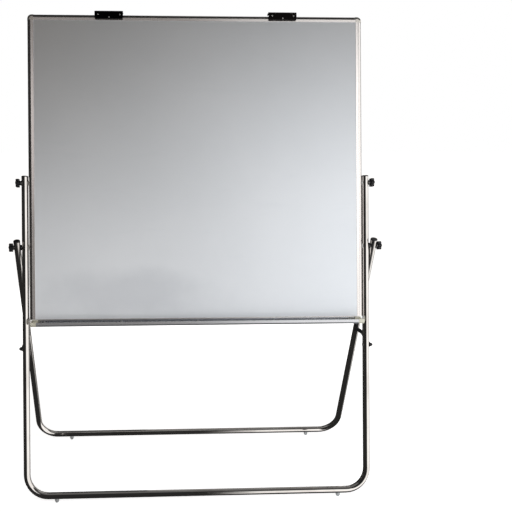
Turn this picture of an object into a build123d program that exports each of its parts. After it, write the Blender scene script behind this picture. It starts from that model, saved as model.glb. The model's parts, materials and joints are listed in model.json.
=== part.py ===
"""Folding tube stand with a height-adjustable writing board, a pen tray and two pad clips."""
import os
from math import cos, radians, sin, sqrt, tan

from build123d import *

os.makedirs("parts", exist_ok=True)

# ---- stand: two bent tubes that form an A from the side -------------------------------
tube_radius = 11.0
tube_wall = 1.2
bend_radius = 72.0
front_lean = 12.0
rear_lean = 16.0
bar_height = 23.0
front_half_width = 573.0
rear_half_width = 599.0
pivot_rise = 829.0
clamp_rise = 1043.0
front_tube_rise = 1063.0
rear_tube_past_pivot = 22.0
foot_offset = 475.0
bolt_radius = 3.0
hole_radius = 3.06

# ---- folding stay: two flat links each side ---------------------------------------------
front_stay_drop = 337.0
rear_stay_drop = 327.0
lug_reach = 18.0
knee_angle = 8.0
link_thickness = 2.5
front_link_x = 584.6
rear_link_x = 587.4
lug_x = 590.2
lug_thickness = 3.0
pin_radius = 2.5

# ---- board ----------------------------------------------------------------------------------
board_width = 1120.0
board_height = 1031.0
board_bottom = 570.0
rail_face = 20.5
rail_round = 12.5
rail_line = 0.6
rail_front = -14.0
rail_back = 10.0
groove_depth = 13.0
panel_front = -12.6
panel_back = -0.6
skin = 0.6
lip_thickness = 1.0
corner_radius = 15.0
corner_soften = 10.0

# ---- T-slot in the side rails -----------------------------------------------------------------
slot_mouth = 8.5
slot_width = 15.0
slot_wall = 2.0
slot_depth = 5.5

# ---- pen tray -----------------------------------------------------------------------------------
tray_half_length = 530.0
tray_cap_length = 19.0
tray_reach = 42.0
tray_back_rise = 18.0
tray_lip_rise = 12.0
tray_wall = 1.8
tray_screw_pitch = 255.0
tray_screw_rise = 10.5

# ---- pad clips ----------------------------------------------------------------------------------
clip_offset = 290.0
clip_width = 94.0
clip_sheet = 1.5
clip_flap_drop = 17.0
clip_head_rise = 10.0

# ---- derived places -------------------------------------------------------------------------
front_tilt = radians(front_lean)
rear_tilt = radians(rear_lean)
pivot_height = pivot_rise * cos(front_tilt)
rear_length = pivot_height / cos(rear_tilt)
spread = pivot_rise * sin(front_tilt) + rear_length * sin(rear_tilt)
board_top = board_bottom + board_height
half_board = board_width / 2
sides = (("left", -1), ("right", 1))

front = Plane(
    origin=(0, -spread / 2, bar_height),
    x_dir=(1, 0, 0),
    z_dir=(0, sin(front_tilt), cos(front_tilt)),
)
rear = Plane(
    origin=(0, spread / 2, bar_height),
    x_dir=(1, 0, 0),
    z_dir=(0, -sin(rear_tilt), cos(rear_tilt)),
)


def level(base, rise, x=0.0, y=0.0):
    """Plane across a leg; local axes are right and back."""
    return Plane(base.from_local_coords((x, y, rise)), x_dir=base.x_dir, z_dir=base.z_dir)


def face(base, y):
    """Plane parallel to a frame, looking forward; local axes are right and up the leg."""
    return Plane(base.from_local_coords((0, y, 0)), x_dir=base.x_dir, z_dir=-base.y_dir)


def flank(base, x):
    """Plane across the width, looking right; local axes are back and up the leg."""
    return Plane(base.from_local_coords((x, 0, 0)), x_dir=base.y_dir, z_dir=base.x_dir)


def outward(base, x, side):
    """Plane at a distance from the middle, looking outward on the given side."""
    return Plane(
        base.from_local_coords((side * x, 0, 0)), x_dir=base.y_dir * side, z_dir=base.x_dir * side
    )


def save(piece, label):
    piece.label = label
    export_step(piece, "parts/" + label + ".step")


# ---- bent tubes ---------------------------------------------------------------------------------
def tube_path(base, half, rise):
    with BuildLine(face(base, 0)) as path:
        FilletPolyline((-half, rise), (-half, 0), (half, 0), (half, rise), radius=bend_radius)
    return path.line


with BuildPart() as front_tube:
    add(tube_path(front, front_half_width, front_tube_rise))
    with BuildSketch(level(front, front_tube_rise, -front_half_width)):
        Circle(tube_radius)
        Circle(tube_radius - tube_wall, mode=Mode.SUBTRACT)
    sweep()
    with BuildSketch(flank(front, -front_half_width - 2 * tube_radius)):
        for rise in (clamp_rise, pivot_rise, pivot_rise - front_stay_drop):
            with Locations((0, rise)):
                Circle(hole_radius)
    extrude(amount=2 * front_half_width + 4 * tube_radius, mode=Mode.SUBTRACT)
    with BuildSketch(Plane.XY):
        with Locations((-foot_offset, -spread / 2), (foot_offset, -spread / 2)):
            Circle(hole_radius)
    extrude(amount=bar_height - tube_radius / 2, mode=Mode.SUBTRACT)
save(front_tube.part, "front_tube")

with BuildPart() as rear_tube:
    add(tube_path(rear, rear_half_width, rear_length + rear_tube_past_pivot))
    with BuildSketch(level(rear, rear_length + rear_tube_past_pivot, -rear_half_width)):
        Circle(tube_radius)
        Circle(tube_radius - tube_wall, mode=Mode.SUBTRACT)
    sweep()
    with BuildSketch(flank(rear, -rear_half_width - 2 * tube_radius)):
        with Locations((0, rear_length)):
            Circle(hole_radius)
    extrude(amount=2 * rear_half_width + 4 * tube_radius, mode=Mode.SUBTRACT)
    with BuildSketch(Plane.XY):
        with Locations((-foot_offset, spread / 2), (foot_offset, spread / 2)):
            Circle(hole_radius)
    extrude(amount=bar_height - tube_radius / 2, mode=Mode.SUBTRACT)
save(rear_tube.part, "rear_tube")


# ---- end caps of the legs and feet ----------------------------------------------------------
def end_caps(base, half, rise):
    with BuildPart() as caps:
        for side in (-1, 1):
            with BuildSketch(level(base, rise, side * half)):
                Circle(tube_radius + 0.4)
            extrude(amount=4.0)
            with BuildSketch(level(base, rise - 11.0, side * half)):
                Circle(tube_radius - tube_wall - 0.05)
            extrude(amount=11.0)
            with BuildSketch(level(base, rise - 11.0, side * half)):
                Circle(tube_radius - tube_wall - 2.0)
            extrude(amount=11.5, mode=Mode.SUBTRACT)
        crowns = caps.edges().filter_by(GeomType.CIRCLE).group_by(SortBy.RADIUS)[-1]
        tops = [e for e in crowns if base.to_local_coords(e.center()).Z > rise + 3.0]
        fillet(tops, radius=2.8)
    return caps.part


front_caps = end_caps(front, front_half_width, front_tube_rise)
save(front_caps, "front_caps")
rear_caps = end_caps(rear, rear_half_width, rear_length + rear_tube_past_pivot)
save(rear_caps, "rear_caps")


def feet(y):
    with BuildPart() as studs:
        for x in (-foot_offset, foot_offset):
            with BuildSketch(Plane.XZ.offset(-y)):
                with BuildLine():
                    Polyline((x, 0), (x + 5.0, 0), (x + 7.0, 5.0), (x + 7.0, 16.5), (x, 16.5), (x, 0))
                make_face()
            revolve(axis=Axis((x, y, 0), (0, 0, 1)))
        with BuildSketch(Plane.YZ.offset(-foot_offset - 20)):
            with Locations((y, bar_height)):
                Circle(tube_radius + 0.02)
        extrude(amount=2 * foot_offset + 40, mode=Mode.SUBTRACT)
        with BuildSketch(Plane.XY.offset(8)):
            with Locations((-foot_offset, y), (foot_offset, y)):
                Circle(bolt_radius)
        extrude(amount=10.0)
    return studs.part


front_feet = feet(-spread / 2)
save(front_feet, "front_feet")
rear_feet = feet(spread / 2)
save(rear_feet, "rear_feet")


# ---- guide bolts: a head that rides in the board's slot and a shank out to the knob -------
def guide_bolt(side, rise, reach):
    inner = half_board - slot_wall - slot_depth + 0.7
    with BuildPart() as bolt:
        with BuildSketch(outward(front, inner, side)):
            with Locations((0, rise)):
                RectangleRounded(slot_width - 1.4, 20.0, 3.0)
        extrude(amount=slot_depth - 1.4)
        with BuildSketch(outward(front, inner, side)):
            with Locations((0, rise)):
                Circle(bolt_radius)
        extrude(amount=reach - inner)
        ends = [e for e in bolt.edges() if abs(front.to_local_coords(e.center()).X) > reach - 0.1]
        chamfer(ends, length=0.6)
    return bolt.part


for name, side in sides:
    clamp_bolt = guide_bolt(side, clamp_rise, 597.0)
    save(clamp_bolt, "clamp_bolt_" + name)
    pivot_bolt = guide_bolt(side, pivot_rise, 620.5)
    save(pivot_bolt, "pivot_bolt_" + name)


def rings(spots, radius, thickness):
    with BuildPart() as group:
        for side in (-1, 1):
            for start, rise in spots:
                with BuildSketch(outward(front, start, side)):
                    with Locations((0, rise)):
                        Circle(radius)
                        Circle(hole_radius, mode=Mode.SUBTRACT)
                extrude(amount=thickness)
    return group.part


guide_washers = rings(((half_board + 0.15, clamp_rise), (half_board + 0.15, pivot_rise)), 8.0, 1.7)
save(guide_washers, "guide_washers")
pivot_spacers = rings(((front_half_width + tube_radius + 0.05, pivot_rise),), 9.0, 3.9)
save(pivot_spacers, "pivot_spacers")
clamp_washer_x = front_half_width + tube_radius + 0.1
pivot_washer_x = rear_half_width + tube_radius + 0.1
knob_washers = rings(((clamp_washer_x, clamp_rise), (pivot_washer_x, pivot_rise)), 8.0, 1.2)
save(knob_washers, "knob_washers")


# ---- star knobs -----------------------------------------------------------------------------------
def star_knob(side, rise, hub_x, head_x, end_x):
    with BuildPart() as knob:
        with BuildSketch(outward(front, hub_x, side)):
            with Locations((0, rise)):
                Circle(7.5)
        extrude(amount=head_x - hub_x)
        with BuildSketch(outward(front, head_x, side)) as star:
            with Locations((0, rise)):
                Circle(11.8)
                with PolarLocations(11.0, 6):
                    Circle(4.5)
            fillet(star.vertices(), radius=2.5)
        extrude(amount=end_x - head_x)
        rims = [e for e in knob.edges() if abs(front.to_local_coords(e.center()).X) > end_x - 0.1]
        fillet(rims, radius=1.8)
        with BuildSketch(outward(front, end_x - 0.8, side)):
            with Locations((0, rise)):
                Circle(6.0)
        extrude(amount=2.0, mode=Mode.SUBTRACT)
        with BuildSketch(outward(front, hub_x - 1, side)):
            with Locations((0, rise)):
                Circle(hole_radius)
        extrude(amount=end_x - 4.0 - hub_x + 1, mode=Mode.SUBTRACT)
    return knob.part


for name, side in sides:
    clamp_knob = star_knob(side, clamp_rise, 585.5, 591.5, 602.0)
    save(clamp_knob, "clamp_knob_" + name)
    pivot_knob = star_knob(side, pivot_rise, 611.5, 615.0, 625.5)
    save(pivot_knob, "pivot_knob_" + name)

# ---- folding stay -----------------------------------------------------------------------------------
stay_low = (0.0, pivot_rise - front_stay_drop)
lug_rise = rear_length - rear_stay_drop
lug_local = front.to_local_coords(rear.from_local_coords((0, -lug_reach, lug_rise)))
stay_far = (lug_local.Y, lug_local.Z)
half_y = (stay_far[0] - stay_low[0]) / 2
half_z = (stay_far[1] - stay_low[1]) / 2
knee_lift = tan(radians(knee_angle))
knee = (stay_low[0] + half_y - half_z * knee_lift, stay_low[1] + half_z + half_y * knee_lift)


def link(side, x, start, end, bore_start, bore_end):
    with BuildPart() as plate:
        with BuildSketch(flank(front, side * x)):
            with Locations(start, end):
                Circle(7.5)
            make_hull()
            with Locations(start):
                Circle(bore_start, mode=Mode.SUBTRACT)
            with Locations(end):
                Circle(bore_end, mode=Mode.SUBTRACT)
        extrude(amount=side * link_thickness)
    return plate.part


def turned(side, center, spans):
    """Round solid about the width axis from (start, end, radius) spans."""
    with BuildPart() as solid:
        for start, end, radius in spans:
            with BuildSketch(flank(front, side * start)):
                with Locations(center):
                    Circle(radius)
            extrude(amount=side * (end - start))
    return solid.part


bore = pin_radius + 0.06
front_link_end = front_link_x + link_thickness
rear_link_end = rear_link_x + link_thickness
lug_end = lug_x + lug_thickness
nut_x = front_link_end + 0.1
nut_flats = 4.0
nut_dome = 4.2
knee_spans = (
    (front_link_x, rear_link_end, pin_radius),
    (rear_link_end, rear_link_end + 1.6, 4.8),
)
lug_spans = (
    (rear_link_x - 0.2, lug_end + 0.3, pin_radius),
    (lug_end + 0.3, lug_end + 1.8, 4.4),
)
for name, side in sides:
    save(link(side, front_link_x, stay_low, knee, hole_radius, bore), "front_link_" + name)
    save(link(side, rear_link_x, knee, stay_far, bore, bore), "rear_link_" + name)
    save(turned(side, knee, knee_spans), "knee_rivet_" + name)
    save(turned(side, stay_far, lug_spans), "lug_pin_" + name)
    with BuildPart() as stay_nut:
        with BuildSketch(flank(front, side * nut_x)):
            with Locations(stay_low):
                RegularPolygon(6.4, 6)
        extrude(amount=side * nut_flats)
        with BuildSketch(flank(front, side * (nut_x + nut_flats))):
            with Locations(stay_low):
                Circle(5.2)
        extrude(amount=side * nut_dome, taper=18)
        crown = stay_nut.edges().sort_by(Axis.X)[0 if side < 0 else -1]
        fillet(crown, radius=1.6)
        with BuildSketch(flank(front, side * front_link_x)):
            with Locations(stay_low):
                Circle(bolt_radius)
        extrude(amount=side * (nut_x - front_link_x))
    save(stay_nut.part, "stay_nut_" + name)

tube_inner_x = front_half_width - tube_radius
with BuildPart() as stay_bolts:
    for _, side in sides:
        with BuildSketch(flank(front, side * (tube_inner_x - 0.8))):
            with Locations(stay_low):
                Circle(4.0)
        extrude(amount=side * 0.8)
        with BuildSketch(flank(front, side * tube_inner_x)):
            with Locations(stay_low):
                Circle(bolt_radius)
        extrude(amount=side * (front_link_x - 0.4 - tube_inner_x))
save(stay_bolts.part, "stay_bolts")

for name, side in sides:
    with BuildPart() as stay_lug:
        with BuildSketch(flank(rear, side * lug_x)):
            with Locations((-lug_reach, lug_rise)):
                Circle(7.0)
            with Locations((-7.0, lug_rise - 4.0)):
                Rectangle(6.0, 40.0)
            make_hull()
            with Locations((-lug_reach, lug_rise)):
                Circle(bore, mode=Mode.SUBTRACT)
        extrude(amount=side * lug_thickness)
        with BuildSketch(level(rear, lug_rise - 60, side * rear_half_width)):
            Circle(tube_radius)
        extrude(amount=120, mode=Mode.SUBTRACT)
    save(stay_lug.part, "stay_lug_" + name)

# ---- board rails ------------------------------------------------------------------------------------
def rail(plane, point, length, slotted):
    """Extruded rail; point maps (distance in from the outer edge, depth) to the sketch."""
    lip_front = panel_front - lip_thickness
    round_mid = rail_round * (1 - sqrt(0.5))
    blocks = [
        (groove_depth, rail_face, lip_front, panel_front, Mode.ADD),
        (groove_depth, rail_face, panel_back, panel_back + 1.5, Mode.ADD),
        (groove_depth, groove_depth + rail_line, lip_front, lip_front + 0.3, Mode.SUBTRACT),
        (9.0, 12.0, -12.0, 8.0, Mode.SUBTRACT),
    ]
    if slotted:
        blocks.append((0, slot_wall, -slot_mouth / 2, slot_mouth / 2, Mode.SUBTRACT))
        blocks.append((slot_wall, slot_wall + slot_depth, -slot_width / 2, slot_width / 2, Mode.SUBTRACT))
    with BuildPart() as bar:
        with BuildSketch(plane):
            with BuildLine():
                ThreePointArc(
                    point(0, rail_front + rail_round),
                    point(round_mid, rail_front + round_mid),
                    point(rail_round, rail_front),
                )
                Polyline(
                    point(rail_round, rail_front),
                    point(groove_depth, rail_front),
                    point(groove_depth, rail_back),
                    point(1.5, rail_back),
                    point(0, rail_back - 1.5),
                    point(0, rail_front + rail_round),
                )
            make_face()
            for u0, u1, y0, y1, mode in blocks:
                with BuildLine():
                    Polyline(point(u0, y0), point(u1, y0), point(u1, y1), point(u0, y1), point(u0, y0))
                make_face(mode=mode)
        extrude(amount=length)
    return bar.part


rail_low = board_bottom + rail_face
rail_high = board_top - rail_face
for name, side in sides:
    stile = rail(
        level(front, rail_low), lambda u, y: (side * (half_board - u), y), rail_high - rail_low, True
    )
    save(stile, "stile_" + name)

rail_x = half_board - rail_face
clip_screw_x = [side * clip_offset + reach for _, side in sides for reach in (-28, 28)]
with BuildPart() as rail_top:
    add(rail(flank(front, -rail_x), lambda u, y: (y, board_top - u), 2 * rail_x, False))
    with BuildSketch(level(front, board_top - 6.0)):
        for x in clip_screw_x:
            with Locations((x, 0)):
                Circle(1.55)
    extrude(amount=8.0, mode=Mode.SUBTRACT)
save(rail_top.part, "rail_top")

screw_places = [(n * tray_screw_pitch, board_bottom + tray_screw_rise) for n in range(-2, 3)]
with BuildPart() as rail_bottom:
    add(rail(flank(front, -rail_x), lambda u, y: (y, board_bottom + u), 2 * rail_x, False))
    with BuildSketch(face(front, -11.0)):
        with Locations(*screw_places):
            Circle(1.55)
    extrude(amount=5.0, mode=Mode.SUBTRACT)
save(rail_bottom.part, "rail_bottom")

# ---- corner pieces ----------------------------------------------------------------------------------
for name, side in sides:
    for end, edge, up in (("top", board_top, -1), ("bottom", board_bottom, 1)):
        mid_x = side * (half_board - rail_face / 2)
        mid_s = edge + up * rail_face / 2
        with BuildPart() as corner:
            with BuildSketch(face(front, rail_back)) as square:
                with Locations((mid_x, mid_s)):
                    Rectangle(rail_face, rail_face)
                tip = square.vertices().sort_by_distance((side * half_board, edge, 0))[0]
                fillet(tip, radius=corner_radius)
            extrude(amount=rail_back - rail_front)
            fronts = [e for e in corner.edges() if front.to_local_coords(e.center()).Y < rail_front + 0.01]
            arcs = [e for e in fronts if e.geom_type == GeomType.CIRCLE]
            rim = arcs + [
                e
                for e in fronts
                if e.geom_type == GeomType.LINE
                and (
                    abs(abs(front.to_local_coords(e.center()).X) - half_board) < 0.01
                    or abs(front.to_local_coords(e.center()).Z - edge) < 0.01
                )
            ]
            fillet(rim, radius=corner_soften)
            with BuildSketch(face(front, panel_back)):
                inner = (side * (half_board - rail_face + 3.75 - 0.01), edge + up * (rail_face - 3.75 + 0.01))
                with Locations(inner):
                    Rectangle(7.52, 7.52)
            extrude(amount=panel_back - panel_front, mode=Mode.SUBTRACT)
            with BuildSketch(level(front, edge + up * (rail_face - 2), side * (half_board - 10.5), -2.0)):
                Rectangle(2.8, 19.7)
            extrude(amount=up * 20.0)
            with BuildSketch(flank(front, side * (half_board - rail_face + 2))):
                with Locations((-2.0, edge + up * 10.5)):
                    Rectangle(19.7, 2.8)
            extrude(amount=-side * 20.0)
        save(corner.part, "corner_" + end + "_" + name)

# ---- panel --------------------------------------------------------------------------------------------
panel_width = board_width - 2 * groove_depth - 0.4
panel_height = board_height - 2 * groove_depth - 0.4
panel_center = (0, board_bottom + board_height / 2)
for label, back, thick in (
    ("writing_sheet", panel_front + skin, skin),
    ("board_core", panel_back - skin, panel_back - panel_front - 2 * skin),
    ("back_sheet", panel_back, skin),
):
    with BuildPart() as panel:
        with BuildSketch(face(front, back)):
            with Locations(panel_center):
                Rectangle(panel_width, panel_height)
        extrude(amount=thick)
    save(panel.part, label)

# ---- pen tray -----------------------------------------------------------------------------------------
tray_low = board_bottom + 0.5
tray_front = rail_front - tray_reach
with BuildPart() as tray:
    with BuildSketch(flank(front, -tray_half_length)) as section:
        with BuildLine():
            Polyline(
                (rail_front, tray_low),
                (rail_front, tray_low + tray_back_rise),
                (rail_front - tray_wall, tray_low + tray_back_rise),
                (rail_front - tray_wall, tray_low + tray_wall + 3.0),
                (rail_front - tray_wall - 3.0, tray_low + tray_wall),
                (tray_front + tray_wall + 4.0, tray_low + tray_wall),
                (tray_front + tray_wall, tray_low + tray_wall + 4.0),
                (tray_front + tray_wall, tray_low + tray_lip_rise),
                (tray_front + tray_wall + 1.6, tray_low + tray_lip_rise),
                (tray_front + tray_wall + 1.6, tray_low + tray_lip_rise + 1.6),
                (tray_front, tray_low + tray_lip_rise + 1.6),
                (tray_front, tray_low + 5.0),
                (tray_front + 5.0, tray_low),
                (rail_front, tray_low),
            )
        make_face()
    extrude(amount=2 * tray_half_length)
    with BuildSketch(face(front, rail_front + 1.0)):
        with Locations(*screw_places):
            Circle(1.85)
    extrude(amount=tray_wall + 2.0, mode=Mode.SUBTRACT)
    with BuildSketch(flank(front, -tray_half_length)):
        for depth in (-26.0, -36.0, -46.0):
            with Locations((depth, tray_low + tray_wall)):
                Rectangle(1.2, 0.8)
    extrude(amount=2 * tray_half_length, mode=Mode.SUBTRACT)
save(tray.part, "tray")

for name, side in sides:
    with BuildPart() as tray_cap:
        with BuildSketch(flank(front, side * tray_half_length)) as block:
            with BuildLine():
                Polyline(
                    (rail_front - 0.1, tray_low - 0.3),
                    (rail_front - 0.1, tray_low + tray_back_rise + 0.5),
                    (rail_front - 4.0, tray_low + tray_back_rise + 0.5),
                    (rail_front - 14.0, tray_low + 14.4),
                    (tray_front - 0.4, tray_low + 14.4),
                    (tray_front - 0.4, tray_low + 4.5),
                    (tray_front + 5.0, tray_low - 0.3),
                    (rail_front - 0.1, tray_low - 0.3),
                )
            make_face()
        extrude(amount=side * tray_cap_length)
        outer_edges = [
            e
            for e in tray_cap.edges()
            if abs(abs(front.to_local_coords(e.center()).X) - tray_half_length - tray_cap_length) < 0.01
        ]
        fillet(outer_edges, radius=2.5)
        with BuildSketch(face(front, rail_front - 7.0)) as scoop:
            with Locations((side * (tray_half_length + 4.0), tray_low + 17.0)):
                Ellipse(11.0, 12.0)
        extrude(amount=tray_reach - 12.0, mode=Mode.SUBTRACT)
    save(tray_cap.part, "tray_cap_" + name)

with BuildPart() as tray_screws:
    with BuildSketch(face(front, rail_front - tray_wall)):
        with Locations(*screw_places):
            Circle(3.6)
    extrude(amount=1.9)
    heads = [
        e
        for e in tray_screws.edges()
        if front.to_local_coords(e.center()).Y < rail_front - tray_wall - 1.8
    ]
    fillet(heads, radius=1.2)
    with BuildSketch(face(front, rail_front - tray_wall - 1.9)):
        with Locations(*screw_places):
            Rectangle(3.6, 0.7)
            Rectangle(0.7, 3.6)
    extrude(amount=-0.9, mode=Mode.SUBTRACT)
    with BuildSketch(face(front, rail_front - tray_wall)):
        with Locations(*screw_places):
            Circle(1.5)
    extrude(amount=-5.0)
save(tray_screws.part, "tray_screws")

# ---- pad clips ----------------------------------------------------------------------------------------
clip_half = clip_width / 2
pin_y = -4.0
pin_rise = board_top + 5.6
for name, side in sides:
    middle = side * clip_offset
    with BuildPart() as clip_base:
        with BuildSketch(flank(front, middle - clip_half + 4.0)):
            with BuildLine():
                Polyline(
                    (rail_front - 0.1, board_top - 7.0),
                    (rail_front - 0.1 - clip_sheet, board_top - 7.0),
                    (rail_front - 0.1 - clip_sheet, board_top + 0.1 + clip_sheet),
                    (rail_back + 0.1 + clip_sheet, board_top + 0.1 + clip_sheet),
                    (rail_back + 0.1 + clip_sheet, board_top - 8.0),
                    (rail_back + 0.1, board_top - 8.0),
                    (rail_back + 0.1, board_top + 0.1),
                    (rail_front - 0.1, board_top + 0.1),
                    (rail_front - 0.1, board_top - 7.0),
                )
            make_face()
        extrude(amount=clip_width - 8.0)
        for start in (middle - clip_half + 4.0, middle + clip_half - 4.0 - clip_sheet):
            with BuildSketch(flank(front, start)):
                with Locations((pin_y, pin_rise)):
                    Circle(2.6)
                with Locations((pin_y, board_top + 1.0)):
                    Rectangle(12.0, 1.2)
                make_hull()
                with Locations((pin_y, pin_rise)):
                    Circle(1.06, mode=Mode.SUBTRACT)
            extrude(amount=clip_sheet)
        with BuildSketch(level(front, board_top)):
            with Locations((middle - 28, 0), (middle + 28, 0)):
                Circle(1.6)
        extrude(amount=3.0, mode=Mode.SUBTRACT)
    save(clip_base.part, "clip_base_" + name)

    flap_in = rail_front - 0.1 - clip_sheet - 1.9
    flap_out = flap_in - clip_sheet
    roof_out = board_top + clip_head_rise
    roof_in = roof_out - clip_sheet
    with BuildPart() as clip_jaw:
        with BuildSketch(flank(front, middle - clip_half)) as bend:
            with BuildLine():
                Polyline(
                    (flap_in, board_top - clip_flap_drop),
                    (flap_in, roof_in - 2.0),
                    (flap_in + 2.0, roof_in),
                    (7.0, roof_in),
                    (7.0, roof_out),
                    (flap_in + 2.0, roof_out),
                    (flap_out, roof_in - 2.0),
                    (flap_out, board_top - clip_flap_drop),
                    (flap_in, board_top - clip_flap_drop),
                )
            make_face()
        extrude(amount=clip_width)
        for start in (middle - clip_half, middle + clip_half - clip_sheet):
            with BuildSketch(flank(front, start)):
                with Locations((pin_y, pin_rise)):
                    Circle(3.2)
                with Locations((pin_y - 2.0, roof_in)):
                    Rectangle(18.0, 1.0)
                make_hull()
                with Locations((pin_y, pin_rise)):
                    Circle(1.06, mode=Mode.SUBTRACT)
            extrude(amount=clip_sheet)
        low_corners = [
            e
            for e in clip_jaw.edges().filter_by(Axis((0, 0, 0), front.y_dir))
            if front.to_local_coords(e.center()).Z < board_top - clip_flap_drop + 0.1
        ]
        fillet(low_corners, radius=4.0)
        with BuildSketch(face(front, flap_in + 1.0)):
            with Locations((middle - 36, board_top - 3.0), (middle + 36, board_top - 3.0),
                           (middle, board_top - 11.5)):
                Circle(1.56)
        extrude(amount=4.0, mode=Mode.SUBTRACT)
    save(clip_jaw.part, "clip_jaw_" + name)

    with BuildPart() as clip_pad:
        with BuildSketch(face(front, flap_in + 3.3)):
            with Locations((middle, board_top - 12.0)):
                RectangleRounded(clip_width - 12.0, 7.5, 1.5)
        extrude(amount=3.3)
        with BuildSketch(face(front, flap_in + 3.4)):
            with Locations((middle, board_top - 11.5)):
                Circle(1.56)
        extrude(amount=4.0, mode=Mode.SUBTRACT)
    save(clip_pad.part, "clip_pad_" + name)

    with BuildPart() as clip_rivets:
        for x, rise, tail in ((middle - 36, board_top - 3.0, 0.9), (middle + 36, board_top - 3.0, 0.9),
                              (middle, board_top - 11.5, 2.6)):
            with BuildSketch(face(front, flap_out)):
                with Locations((x, rise)):
                    Circle(2.7)
            extrude(amount=1.3)
            with BuildSketch(face(front, flap_in + tail)):
                with Locations((x, rise)):
                    Circle(1.5)
            extrude(amount=clip_sheet + tail)
        domes = [e for e in clip_rivets.edges() if front.to_local_coords(e.center()).Y < flap_out - 1.2]
        fillet(domes, radius=1.0)
    save(clip_rivets.part, "clip_rivets_" + name)

    with BuildPart() as clip_pin:
        with BuildSketch(flank(front, middle - clip_half - 0.6)):
            with Locations((pin_y, pin_rise)):
                Circle(1.0)
        extrude(amount=clip_width + 1.2)
    save(clip_pin.part, "clip_pin_" + name)

    with BuildPart() as clip_spring:
        coil_start = front.from_local_coords((middle - 9.0, pin_y, pin_rise))
        with BuildLine() as coil:
            Helix(pitch=1.5, height=18.0, radius=1.85, center=coil_start, direction=(1, 0, 0))
        with BuildSketch(Plane(coil.line @ 0, z_dir=coil.line % 0)):
            Circle(0.33)
        sweep(path=coil.line, is_frenet=True)
    save(clip_spring.part, "clip_spring_" + name)

with BuildPart() as clip_screws:
    with BuildSketch(level(front, board_top + 0.1 + clip_sheet)):
        for x in clip_screw_x:
            with Locations((x, 0)):
                Circle(3.0)
    extrude(amount=1.4)
    with BuildSketch(level(front, board_top - 5.0)):
        for x in clip_screw_x:
            with Locations((x, 0)):
                Circle(1.5)
    extrude(amount=6.7)
save(clip_screws.part, "clip_screws")
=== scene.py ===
"""Looks of the folding whiteboard stand: materials, softened edges, studio and camera."""

import json
from math import cos, radians, sin

import bmesh
import bpy
from mathutils import Matrix, Vector


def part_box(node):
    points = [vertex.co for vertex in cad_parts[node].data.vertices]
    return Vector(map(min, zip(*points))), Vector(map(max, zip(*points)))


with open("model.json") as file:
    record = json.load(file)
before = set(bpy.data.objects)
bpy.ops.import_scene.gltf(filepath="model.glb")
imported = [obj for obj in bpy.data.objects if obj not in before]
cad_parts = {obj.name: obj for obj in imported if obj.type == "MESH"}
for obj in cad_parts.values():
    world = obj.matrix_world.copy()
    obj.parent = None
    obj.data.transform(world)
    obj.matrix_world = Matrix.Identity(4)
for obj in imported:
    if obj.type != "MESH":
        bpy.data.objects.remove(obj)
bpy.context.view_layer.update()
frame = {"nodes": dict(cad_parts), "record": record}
nodes = frame["nodes"]
slot_of = {part["node"]: part["material_slot"] for part in frame["record"]["subparts"]}

# the board and the front legs lean back by this angle
LEAN = radians(12.0)

# metallic tints, linear
RAIL_TINT = (0.80, 0.775, 0.765)
RAIL_SHADE = (0.70, 0.68, 0.67)
# tray: a darker, cooler copy of the rail aluminium, painted shade
TRAY_DARKENED_TINT = (0.61, 0.63, 0.66)
TRAY_DARKENED_SHADE = (0.51, 0.53, 0.56)

# writing sheet: a grey patch low on the left, as parts of the sheet's width and height
GREY_PATCH_PLACE = (0.305, 0.095)
GREY_PATCH_REACH = (0.27, 0.085)

# widths of the softened edges, metres
SHARP_EDGE = 0.0003
BLUNT_EDGE = 0.0004
EDGE_ANGLE = radians(40)

# camera: place in metres, then its turn, lens in millimetres and sideways shift of the frame
CAMERA_PLACE = (-0.173, -1.938, 1.217)
CAMERA_PITCH = radians(12.27)
CAMERA_YAW = radians(2.24)
CAMERA_ROLL = radians(0.08)
CAMERA_LENS = 40.78
CAMERA_SHIFT = 0.172


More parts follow.
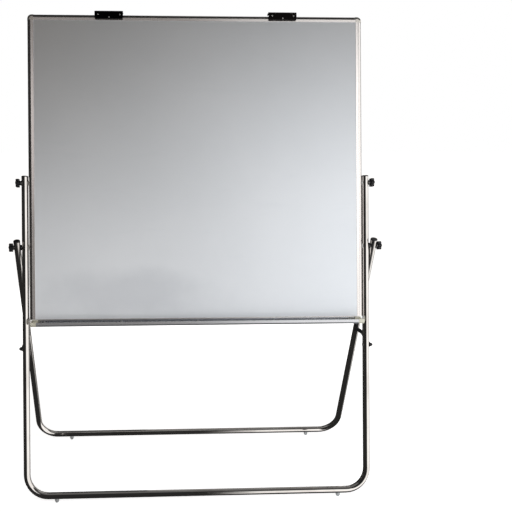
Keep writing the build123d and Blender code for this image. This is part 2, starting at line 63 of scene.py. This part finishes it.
# ------------------------------------------------------------------ node helpers
class Shader:
    """A material with a Principled shader and short ways to add nodes to it."""

    def __init__(self, name):
        self.material = bpy.data.materials.new(name)
        self.material.use_nodes = True
        self.tree = self.material.node_tree
        self.tree.nodes.clear()
        self.out = self.tree.nodes.new("ShaderNodeOutputMaterial")
        self.bsdf = self.tree.nodes.new("ShaderNodeBsdfPrincipled")
        self.link(self.bsdf.outputs["BSDF"], self.out.inputs["Surface"])
        self.place = self.tree.nodes.new("ShaderNodeTexCoord").outputs["Object"]

    def link(self, source, target):
        self.tree.links.new(source, target)

    def set(self, **values):
        for key, value in values.items():
            self.bsdf.inputs[key.replace("_", " ")].default_value = value

    def mapped(self, scale=(1, 1, 1), turn=(0, 0, 0), vector=None, shift=(0, 0, 0)):
        """Coordinates scaled, then turned, then shifted."""
        node = self.tree.nodes.new("ShaderNodeMapping")
        node.inputs["Location"].default_value = shift
        node.inputs["Rotation"].default_value = turn
        node.inputs["Scale"].default_value = scale
        self.link(vector or self.place, node.inputs["Vector"])
        return node.outputs["Vector"]

    def noise(self, scale, detail=4.0, roughness=0.55, vector=None, distortion=0.0):
        node = self.tree.nodes.new("ShaderNodeTexNoise")
        node.inputs["Scale"].default_value = scale
        node.inputs["Detail"].default_value = detail
        node.inputs["Roughness"].default_value = roughness
        node.inputs["Distortion"].default_value = distortion
        self.link(vector or self.place, node.inputs["Vector"])
        return node.outputs["Fac"]

    def voronoi(self, scale, feature="F1"):
        node = self.tree.nodes.new("ShaderNodeTexVoronoi")
        node.feature = feature
        node.inputs["Scale"].default_value = scale
        self.link(self.place, node.inputs["Vector"])
        return node.outputs["Distance"]

    def distance(self, vector):
        """Length of a vector."""
        node = self.tree.nodes.new("ShaderNodeVectorMath")
        node.operation = "LENGTH"
        self.link(vector, node.inputs[0])
        return node.outputs["Value"]

    def span(self, value, low, high, to_low=0.0, to_high=1.0, smooth=True):
        """Value taken from low..high to to_low..to_high, smoothly or in a straight line."""
        node = self.tree.nodes.new("ShaderNodeMapRange")
        node.interpolation_type = "SMOOTHSTEP" if smooth else "LINEAR"
        node.inputs["From Min"].default_value = low
        node.inputs["From Max"].default_value = high
        node.inputs["To Min"].default_value = to_low
        node.inputs["To Max"].default_value = to_high
        self.link(value, node.inputs["Value"])
        return node.outputs["Result"]

    def math(self, kind, a, b):
        node = self.tree.nodes.new("ShaderNodeMath")
        node.operation = kind
        for slot, value in ((0, a), (1, b)):
            if isinstance(value, (int, float)):
                node.inputs[slot].default_value = value
            else:
                self.link(value, node.inputs[slot])
        return node.outputs[0]

    def mix(self, share, a, b):
        """Colour a where share is 0 and colour b where it is 1."""
        node = self.tree.nodes.new("ShaderNodeMix")
        node.data_type = "RGBA"
        share_slot, a_slot, b_slot = 0, 6, 7
        self.link(share, node.inputs[share_slot])
        for slot, value in ((a_slot, a), (b_slot, b)):
            if isinstance(value, tuple):
                node.inputs[slot].default_value = (*value, 1.0)
            else:
                self.link(value, node.inputs[slot])
        return node.outputs[2]

    def colour(self, socket):
        self.link(socket, self.bsdf.inputs["Base Color"])

    def rough(self, socket):
        self.link(socket, self.bsdf.inputs["Roughness"])

    def bump(self, height, distance, strength, before=None):
        """Bump of this distance in metres, laid over an earlier one."""
        node = self.tree.nodes.new("ShaderNodeBump")
        node.inputs["Distance"].default_value = distance
        node.inputs["Strength"].default_value = strength
        self.link(height, node.inputs["Height"])
        if before is not None:
            self.link(before, node.inputs["Normal"])
        self.link(node.outputs["Normal"], self.bsdf.inputs["Normal"])
        return node.outputs["Normal"]


# ------------------------------------------------------------------ materials
def chrome(name, tint, dull, rough_low, rough_high):
    """Plated steel: even mirror with hazy patches and fine specks."""
    m = Shader(name)
    m.set(Metallic=1.0)
    clouds = m.noise(9.0, 5.0)
    spots = m.noise(160.0, 3.0)
    haze = m.span(clouds, 0.42, 0.68)
    m.colour(m.mix(haze, tint, dull))
    grime = m.math("MULTIPLY", haze, m.span(spots, 0.45, 0.75))
    m.rough(m.span(grime, 0.0, 1.0, rough_low, rough_high, False))
    m.bump(m.noise(24.0, 2.0), 0.0004, 0.1)
    return m.material


def moulded(name, low, high, rough, grain=0.00004, scale=1400.0, metal=0.0):
    """Moulded or stoved finish with a fine pebbled grain and worn patches."""
    m = Shader(name)
    m.set(Metallic=metal)
    patch = m.span(m.noise(28.0, 5.0), 0.35, 0.7)
    m.colour(m.mix(patch, low, high))
    wear = m.span(m.noise(90.0, 4.0), 0.4, 0.75)
    m.rough(m.span(wear, 0.0, 1.0, rough, rough + 0.14, False))
    pebbles = m.bump(m.voronoi(scale), grain, 0.5)
    m.bump(m.noise(70.0, 3.0), 0.00012, 0.2, pebbles)
    return m.material


def anodised(name, along, tint, shade, rough):
    """Satin aluminium with fine lines that run along the extrusion."""
    m = Shader(name)
    m.set(Metallic=1.0)
    level = m.mapped(turn=(LEAN, 0.0, 0.0))
    across, lengthwise = 700.0, 5.0
    fine = (lengthwise, across, across) if along == "x" else (across, across, lengthwise)
    coarse = tuple(value / 6 for value in fine)
    streaks = m.noise(1.0, 3.0, vector=m.mapped(fine, vector=level))
    broad = m.noise(1.0, 3.0, vector=m.mapped(coarse, vector=level))
    tone = m.math("ADD", m.math("MULTIPLY", streaks, 0.5), m.math("MULTIPLY", broad, 0.5))
    m.colour(m.mix(m.span(tone, 0.32, 0.68), shade, tint))
    m.rough(m.span(tone, 0.3, 0.7, rough + 0.04, rough, False))
    m.bump(broad, 0.00002, 0.08)
    return m.material


def grey_patch_share(m):
    """Share of the grey patch: 1 in the middle of the patch, 0 outside its ragged rim."""
    low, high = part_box("writing_sheet")
    width, height = high.x - low.x, high.z - low.z
    across, up = GREY_PATCH_PLACE
    middle = (low.x + across * width, 0.0, low.z + up * height)
    half_wide, half_high = GREY_PATCH_REACH
    scale = (0.5 / (half_wide * width), 0.0, 0.5 / (half_high * height))
    centred = m.mapped(shift=(-middle[0], 0.0, -middle[2]))
    away = m.distance(m.mapped(scale, vector=centred))
    ragged = m.math("ADD", away, m.math("MULTIPLY", m.noise(7.0, 4.0), 0.5))
    return m.math("SUBTRACT", 1.0, m.span(ragged, 0.42, 0.86))


def enamel():
    """White lacquered writing surface with traces of wiping and one darker grey patch low on the left."""
    m = Shader("board_enamel")
    m.set(IOR=1.5, Specular_IOR_Level=0.35)
    clouds = m.span(m.noise(2.6, 4.0), 0.35, 0.7)
    slanting = m.mapped((3.0, 16.0, 16.0), (0.0, 0.35, 0.0))
    ghost = m.span(m.noise(1.0, 5.0, 0.6, slanting, 1.2), 0.55, 0.8)
    base = m.mix(clouds, (0.795, 0.805, 0.815), (0.825, 0.832, 0.84))
    base = m.mix(m.math("MULTIPLY", ghost, 0.2), base, (0.72, 0.735, 0.75))
    base = m.mix(m.math("MULTIPLY", grey_patch_share(m), 0.5), base, (0.60, 0.61, 0.63))
    m.colour(base)
    specks = m.span(m.noise(60.0), 0.5, 0.8)
    dust = m.math("ADD", m.math("MULTIPLY", ghost, 0.6), m.math("MULTIPLY", specks, 0.4))
    m.rough(m.span(dust, 0.0, 1.0, 0.3, 0.42, False))
    peel = m.bump(m.noise(420.0, 2.0), 0.00003, 0.12)
    m.bump(m.noise(3.0, 2.0), 0.0012, 0.12, peel)
    return m.material


def coated_back():
    """Grey coated steel with a faint spangle."""
    m = Shader("back_coating")
    patch = m.span(m.noise(5.0, 5.0), 0.35, 0.7)
    m.colour(m.mix(patch, (0.44, 0.44, 0.43), (0.50, 0.50, 0.48)))
    m.rough(m.span(m.noise(40.0), 0.4, 0.7, 0.42, 0.55, False))
    m.bump(m.voronoi(180.0), 0.00006, 0.4)
    return m.material


def honeycomb():
    """Brown card core between the two sheets."""
    m = Shader("core_card")
    m.colour(m.mix(m.span(m.noise(300.0, 6.0), 0.3, 0.7), (0.42, 0.33, 0.22), (0.55, 0.45, 0.31)))
    m.set(Roughness=0.9)
    m.bump(m.voronoi(220.0, "DISTANCE_TO_EDGE"), 0.0004, 0.6)
    return m.material


def zinc():
    """Plated fasteners: dull bright metal with small spangles."""
    m = Shader("zinc_plate")
    m.set(Metallic=1.0)
    tint = (0.62, 0.62, 0.61)
    worn = tuple(value * 0.72 for value in tint)
    m.colour(m.mix(m.span(m.noise(220.0, 4.0), 0.35, 0.7), tint, worn))
    m.rough(m.span(m.noise(500.0, 3.0), 0.3, 0.75, 0.29, 0.47, False))
    m.bump(m.noise(1500.0, 2.0), 0.00002, 0.4)
    return m.material


# one look for each material slot of the record, apart from the aluminium
looks = {
    "steel_tube": chrome("tube_chrome", (0.70, 0.685, 0.67), (0.60, 0.58, 0.56), 0.05, 0.14),
    # the clips' plating darkened to near-black: painted shade for the dark room it mirrors
    "clip_steel": chrome("clip_chrome_painted_shade", (0.026, 0.023, 0.023), (0.016, 0.016, 0.016), 0.13, 0.25),
    "black_plastic": moulded("black_moulding", (0.012, 0.012, 0.013), (0.022, 0.022, 0.024), 0.36),
    "foot_grey": moulded("foot_moulding", (0.42, 0.43, 0.43), (0.52, 0.53, 0.53), 0.5),
    "nylon": moulded("nylon_washer", (0.62, 0.61, 0.57), (0.70, 0.69, 0.66), 0.4),
    "corner_grey": moulded("corner_moulding", (0.62, 0.60, 0.56), (0.70, 0.68, 0.64), 0.2, metal=0.85),
    "tray_beige": moulded("tray_end_moulding", (0.56, 0.53, 0.42), (0.66, 0.63, 0.52), 0.34),
    "clip_rubber": moulded("clip_rubber", (0.02, 0.02, 0.02), (0.035, 0.035, 0.035), 0.6),
    "black_steel": moulded(
        "black_stove_paint", (0.010, 0.010, 0.011), (0.018, 0.018, 0.02), 0.3, 0.00003, 900.0
    ),
    "zinc_bolt": zinc(),
    "board_white": enamel(),
    "core_board": honeycomb(),
    "back_metal": coated_back(),
}
along_x = anodised("aluminium_along_width", "x", RAIL_TINT, RAIL_SHADE, 0.2)
along_z = anodised("aluminium_along_height", "z", RAIL_TINT, RAIL_SHADE, 0.2)
# bottom corners: a paler copy of the corner moulding, painted light where the low key lamp falls
painted_light_corner = moulded("bottom_corner_painted_light", (0.84, 0.83, 0.79), (0.90, 0.89, 0.85), 0.3)
shaded_tray_look = anodised("tray_aluminium_painted_shade", "x", TRAY_DARKENED_TINT, TRAY_DARKENED_SHADE, 0.22)


def look_of(name):
    """Material of a node: its slot's look, or the aluminium whose lines run the node's way."""
    # the bottom corners take the paler copy: painted light
    if name.startswith("corner_bottom"):
        return painted_light_corner
    # the tray takes the darker copy of the aluminium: painted shade
    if name == "tray":
        return shaded_tray_look
    return looks.get(slot_of[name], along_z if name.startswith("stile") else along_x)


for name, piece in nodes.items():
    piece.data.materials.clear()
    piece.data.materials.append(look_of(name))


# ------------------------------------------------------------------ softened edges
def soften(name, width):
    """Round the sharp edges of a pressed or drawn piece."""
    bevel = nodes[name].modifiers.new("soft_edge", "BEVEL")
    bevel.width = width
    bevel.segments = 2
    bevel.limit_method = "ANGLE"
    bevel.angle_limit = EDGE_ANGLE
    bevel.harden_normals = False


soften("tray", SHARP_EDGE)
for side in ("left", "right"):
    soften("clip_base_" + side, SHARP_EDGE)
    soften("stay_nut_" + side, SHARP_EDGE)
    soften("clip_jaw_" + side, BLUNT_EDGE)
    soften("front_link_" + side, BLUNT_EDGE)
    soften("rear_link_" + side, BLUNT_EDGE)


# ------------------------------------------------------------------ studio floor
def stage_plane(name, half_size):
    mesh = bpy.data.meshes.new(name)
    grid = bmesh.new()
    bmesh.ops.create_grid(grid, x_segments=1, y_segments=1, size=half_size)
    grid.to_mesh(mesh)
    grid.free()
    piece = bpy.data.objects.new(name, mesh)
    bpy.context.scene.collection.objects.link(piece)
    return piece


def studio_paper():
    """White paper that takes soft shadows near the stand and fades into the backdrop further out."""
    m = Shader("studio_floor")
    m.tree.nodes.remove(m.bsdf)
    paper = m.tree.nodes.new("ShaderNodeBsdfDiffuse")
    paper.inputs["Color"].default_value = (0.9, 0.9, 0.9, 1)
    lift = m.tree.nodes.new("ShaderNodeEmission")
    lift.inputs["Color"].default_value = (1, 1, 1, 1)
    near, far = 0.7, 1.9
    shaded, plain = 0.74, 1.0
    m.link(m.span(m.distance(m.place), near, far, shaded, plain), lift.inputs["Strength"])
    both = m.tree.nodes.new("ShaderNodeAddShader")
    pick = m.tree.nodes.new("ShaderNodeMixShader")
    path = m.tree.nodes.new("ShaderNodeLightPath")
    m.link(paper.outputs[0], both.inputs[0])
    m.link(lift.outputs[0], both.inputs[1])
    m.link(path.outputs["Is Camera Ray"], pick.inputs[0])
    m.link(paper.outputs[0], pick.inputs[1])
    m.link(both.outputs[0], pick.inputs[2])
    m.link(pick.outputs[0], m.out.inputs["Surface"])
    return m.material


floor = stage_plane("studio_floor", 30.0)
floor.data.materials.append(studio_paper())
floor.visible_glossy = False

# ------------------------------------------------------------------ room light and what the gloss mirrors
world = bpy.data.worlds.new("studio")
bpy.context.scene.world = world
world.use_nodes = True
room_tree = world.node_tree
room_tree.nodes.clear()


def room_math(kind, a, b):
    node = room_tree.nodes.new("ShaderNodeMath")
    node.operation = kind
    for slot, value in ((0, a), (1, b)):
        if isinstance(value, (int, float)):
            node.inputs[slot].default_value = value
        else:
            room_tree.links.new(value, node.inputs[slot])
    return node.outputs[0]


def room_step(value, low, high):
    """Smooth step from 0 at low to 1 at high."""
    node = room_tree.nodes.new("ShaderNodeMapRange")
    node.interpolation_type = "SMOOTHSTEP"
    node.inputs["From Min"].default_value = low
    node.inputs["From Max"].default_value = high
    room_tree.links.new(value, node.inputs["Value"])
    return node.outputs["Result"]


def room_band(value, low, high, soft):
    """1 between low and high, with a soft rim on both sides."""
    rise = room_step(value, low, low + soft)
    fall = room_math("SUBTRACT", 1.0, room_step(value, high, high + soft))
    return room_math("MULTIPLY", rise, fall)


def background(colour, strength):
    node = room_tree.nodes.new("ShaderNodeBackground")
    node.inputs["Color"].default_value = (*colour, 1)
    if isinstance(strength, float):
        node.inputs["Strength"].default_value = strength
    else:
        room_tree.links.new(strength, node.inputs["Strength"])
    return node.outputs[0]


def swap(ray, usual, other):
    """The usual background, and the other one for this kind of ray."""
    node = room_tree.nodes.new("ShaderNodeMixShader")
    room_tree.links.new(ray, node.inputs[0])
    room_tree.links.new(usual, node.inputs[1])
    room_tree.links.new(other, node.inputs[2])
    return node.outputs[0]


coords = room_tree.nodes.new("ShaderNodeTexCoord")
split = room_tree.nodes.new("ShaderNodeSeparateXYZ")
room_tree.links.new(coords.outputs["Generated"], split.inputs[0])

# azimuth 0 is in front of the board, positive to the right; height is the sine of the elevation
azimuth = room_math("ARCTAN2", split.outputs["X"], room_math("MULTIPLY", split.outputs["Y"], -1.0))
height = split.outputs["Z"]
# lowest and highest azimuth, width of their rim, lowest and highest height, brightness
height_rim = 0.15
bright_bands = (
    (0.10, 1.75, 0.12, -0.7, 0.42, 1.35),
    (1.95, 3.3, 0.25, -0.7, 0.8, 0.32),
)
glow = 0.028
for low, high, soft, bottom, top, power in bright_bands:
    around = room_band(azimuth, low, high, soft)
    patch = room_math("MULTIPLY", around, room_band(height, bottom, top, height_rim))
    glow = room_math("ADD", glow, room_math("MULTIPLY", patch, power))

rays = room_tree.nodes.new("ShaderNodeLightPath").outputs
room = background((1.0, 0.82, 0.62), 0.085)
mirror = background((1.0, 0.975, 0.95), glow)
backdrop = background((1, 1, 1), 1.0)
seen = swap(rays["Is Camera Ray"], swap(rays["Is Glossy Ray"], room, mirror), backdrop)
room_out = room_tree.nodes.new("ShaderNodeOutputWorld")
room_tree.links.new(seen, room_out.inputs["Surface"])


# ------------------------------------------------------------------ lamps
def softbox(name, place, aim, size, watts, colour=(1, 1, 1)):
    data = bpy.data.lights.new(name, "AREA")
    data.shape = "RECTANGLE"
    data.size, data.size_y = size
    data.energy = watts
    data.color = colour
    piece = bpy.data.objects.new(name, data)
    bpy.context.scene.collection.objects.link(piece)
    piece.location = place
    piece.rotation_euler = (Vector(aim) - Vector(place)).to_track_quat("-Z", "Y").to_euler()
    piece.visible_camera = False
    return piece


def only_on(panels, slots):
    """Let the panels light the nodes in these slots alone."""
    seen_by = bpy.data.collections.new(panels[0].name + "_receivers")
    for name, piece in nodes.items():
        if slot_of[name] in slots:
            seen_by.objects.link(piece)
    for panel in panels:
        panel.light_linking.receiver_collection = seen_by


# a low key light from the right, so the board pales from its upper left to its lower right corner
lamps = [
    softbox("key_light", (1.05, -0.90, 0.714), (1.0, 0.0, 0.29), (1.8, 1.8), 16.6, (0.90, 0.945, 1.0)),
    softbox("low_fill", (-0.53, -0.77, 0.77), (-0.04, 0.0, 0.7), (0.8, 0.8), 3.0, (0.95, 0.97, 1.0)),
    softbox("back_light", (0.0, 2.6, 0.8), (0.0, 0.1, 0.8), (2.0, 1.4), 34.0),
]
for lamp in lamps:
    lamp.visible_glossy = False

# panels that only the frame of the board sees: its flat faces shine and its rounds stay dark
frame_panels = [
    softbox("left_panel", (-0.65, -3.2, 2.5), (-0.65, 0.0, 2.5), (2.5, 4.2), 9.0, (1.0, 0.935, 0.89)),
    softbox("right_panel", (1.6, -3.2, 3.1), (1.6, 0.0, 3.1), (2.0, 3.0), 10.0, (1.0, 0.985, 0.97)),
    softbox("left_glow", (-1.2, -3.15, 2.65), (-1.2, 0.0, 2.65), (1.2, 1.3), 2.4, (1.0, 0.93, 0.92)),
    softbox("floor_glow", (0.3, -0.8, 0.02), (0.3, -0.8, 1.0), (3.5, 3.0), 5.0),
    softbox("floor_glow_right", (1.4, -0.8, 0.03), (1.4, -0.8, 1.0), (1.6, 3.0), 3.8),
]
# a ceiling panel that only the polished tubes mirror, so the top rail keeps its dark round
ceiling = softbox("ceiling_panel", (0.0, 0.0, 4.0), (0.0, 0.0, 0.0), (5.0, 5.0), 11.0, (1.0, 0.975, 0.95))
only_on(frame_panels, ("rail_aluminium", "corner_grey"))
only_on([ceiling], ("steel_tube",))

# ------------------------------------------------------------------ camera
camera_data = bpy.data.cameras.new("camera")
camera_data.sensor_width = 36.0
camera_data.lens = CAMERA_LENS
camera_data.shift_x = CAMERA_SHIFT
camera_data.clip_end = 200.0
camera = bpy.data.objects.new("camera", camera_data)
bpy.context.scene.collection.objects.link(camera)
ahead = Vector(
    (sin(CAMERA_YAW) * cos(CAMERA_PITCH), cos(CAMERA_YAW) * cos(CAMERA_PITCH), -sin(CAMERA_PITCH))
)
level_side = Vector((cos(CAMERA_YAW), -sin(CAMERA_YAW), 0.0))
level_top = level_side.cross(ahead)
side_axis = level_side * cos(CAMERA_ROLL) + level_top * sin(CAMERA_ROLL)
top_axis = level_top * cos(CAMERA_ROLL) - level_side * sin(CAMERA_ROLL)
turn = Matrix((side_axis, top_axis, -ahead)).transposed().to_4x4()
camera.matrix_world = Matrix.Translation(Vector(CAMERA_PLACE)) @ turn
bpy.context.scene.camera = camera
bpy.context.scene.view_settings.view_transform = "Standard"
